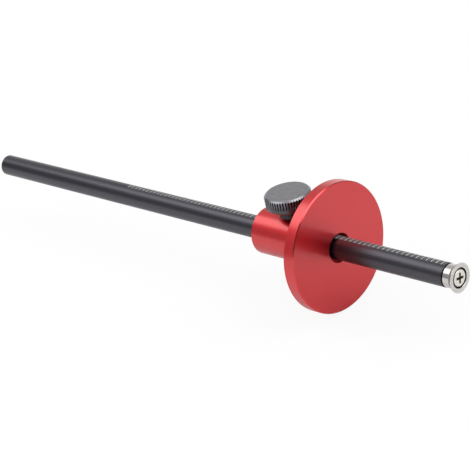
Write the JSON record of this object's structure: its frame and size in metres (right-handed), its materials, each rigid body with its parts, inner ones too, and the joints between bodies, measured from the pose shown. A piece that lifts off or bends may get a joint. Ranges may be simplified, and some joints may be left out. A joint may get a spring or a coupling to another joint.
{
  "type": "wheel marking gauge",
  "caption": "Wheel marking gauge: a graduated round rod with a bevelled cutter wheel on its nose and a sliding disc fence locked by a knurled thumb screw.",
  "frame": {"origin": "centre of the fence's working face, on the rod's axis", "axes": "+X along the rod towards the cutter, +Z along the lock screw's axis towards its head, +Y completes the right-handed set"},
  "size_m": [0.23, 0.045, 0.045],
  "materials": {
    "black_anodised": "black anodised, satin, with light etched marks",
    "hardened_steel": "turned and ground, bright",
    "plated_steel": "nickel plated, satin",
    "red_anodised": "red anodised, satin",
    "ring_rubber": "matte",
    "pad_brass": "turned",
    "dark_anodised": "dark grey anodised, matte, knurled"
  },
  "bodies": {
    "rod": {"beam_rod": "black_anodised", "cutter_screw": "plated_steel"},
    "cutter": {"cutter_wheel": "hardened_steel"},
    "ring": {"friction_ring": "ring_rubber"},
    "fence": {"fence": "red_anodised"},
    "pad": {"lock_pad": "pad_brass"},
    "knob": {"lock_screw": "dark_anodised"}
  },
  "joints": [
    {"name": "fence_slide", "type": "slide", "parent": "rod", "child": "ring", "axis": [1, 0, 0], "range_m": [-0.1455, 0.0503]},
    {"name": "fence_turn", "type": "hinge", "parent": "ring", "child": "fence", "pos_m": [0, 0, 0], "axis": [1, 0, 0], "continuous": true},
    {"name": "pad_lift", "type": "slide", "parent": "fence", "child": "pad", "axis": [0, 0, 1], "range_m": [0, 0.00121]},
    {"name": "lock_turn", "type": "hinge", "parent": "pad", "child": "knob", "pos_m": [-0.0197, 0, 0], "axis": [0, 0, 1], "range_deg": [0, 540]},
    {"name": "cutter_turn", "type": "hinge", "parent": "rod", "child": "cutter", "pos_m": [0.0458, 0, 0], "axis": [1, 0, 0], "continuous": true}
  ],
  "couplings": [
    {"joint": "pad_lift", "follows": "lock_turn", "m_per_rad": 0.00012732}
  ]
}
